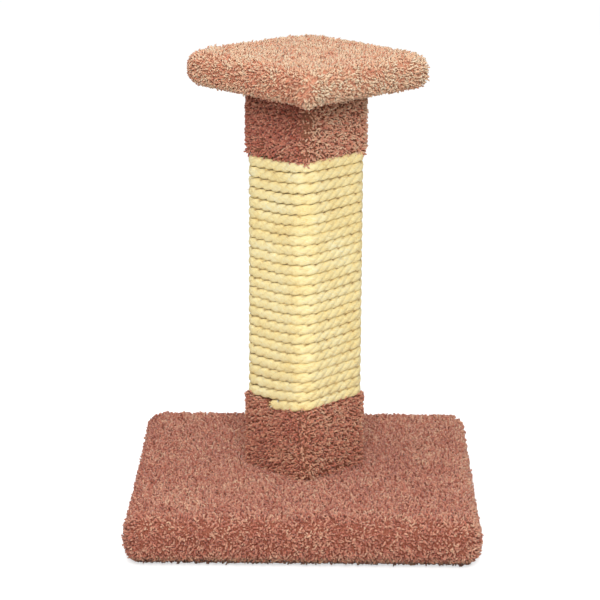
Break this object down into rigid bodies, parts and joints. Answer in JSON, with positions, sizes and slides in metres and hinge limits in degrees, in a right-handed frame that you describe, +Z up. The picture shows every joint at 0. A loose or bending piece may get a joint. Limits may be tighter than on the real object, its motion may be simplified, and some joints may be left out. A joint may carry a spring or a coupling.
{
  "type": "cat scratching post",
  "caption": "Cat scratching post: a sisal-wound square timber post between carpet sleeves, standing on a carpeted square base and carrying a small carpeted platform.",
  "frame": {"origin": "on the floor under the middle of the square base, at the bottom centre of the bounding box", "axes": "+Z up along the post; X and Y along the sides of the base; -Y is the front as pictured, and the post and platform are turned 45 degrees about Z to the base"},
  "size_m": [0.432, 0.432, 0.5884],
  "materials": {
    "carpet": "cut-pile carpet, heathered dusty rose and tan",
    "sisal": "natural three-strand sisal rope",
    "particleboard": "raw particleboard",
    "softwood": "planed softwood",
    "steel": "bright zinc plated"
  },
  "bodies": {
    "root": {"base_board": "particleboard", "base_carpet": "carpet", "post": "softwood", "lower_sleeve": "carpet", "upper_sleeve": "carpet", "sisal_rope": "sisal", "top_board": "particleboard", "top_carpet": "carpet", "base_screw_1": "steel", "base_screw_2": "steel", "base_screw_3": "steel", "base_screw_4": "steel", "top_screw_1": "steel", "top_screw_2": "steel", "top_screw_3": "steel", "top_screw_4": "steel", "rope_staple_1": "steel", "rope_staple_2": "steel", "lower_sleeve_staple_1": "steel", "lower_sleeve_staple_2": "steel", "lower_sleeve_staple_3": "steel", "lower_sleeve_staple_4": "steel", "upper_sleeve_staple_1": "steel", "upper_sleeve_staple_2": "steel", "upper_sleeve_staple_3": "steel", "upper_sleeve_staple_4": "steel", "base_staple_1": "steel", "base_staple_2": "steel", "base_staple_3": "steel", "base_staple_4": "steel", "base_staple_5": "steel", "base_staple_6": "steel", "base_staple_7": "steel", "base_staple_8": "steel", "base_staple_9": "steel", "base_staple_10": "steel", "base_staple_11": "steel", "base_staple_12": "steel", "top_staple_1": "steel", "top_staple_2": "steel", "top_staple_3": "steel", "top_staple_4": "steel", "top_staple_5": "steel", "top_staple_6": "steel", "top_staple_7": "steel", "top_staple_8": "steel"}
  },
  "joints": []
}
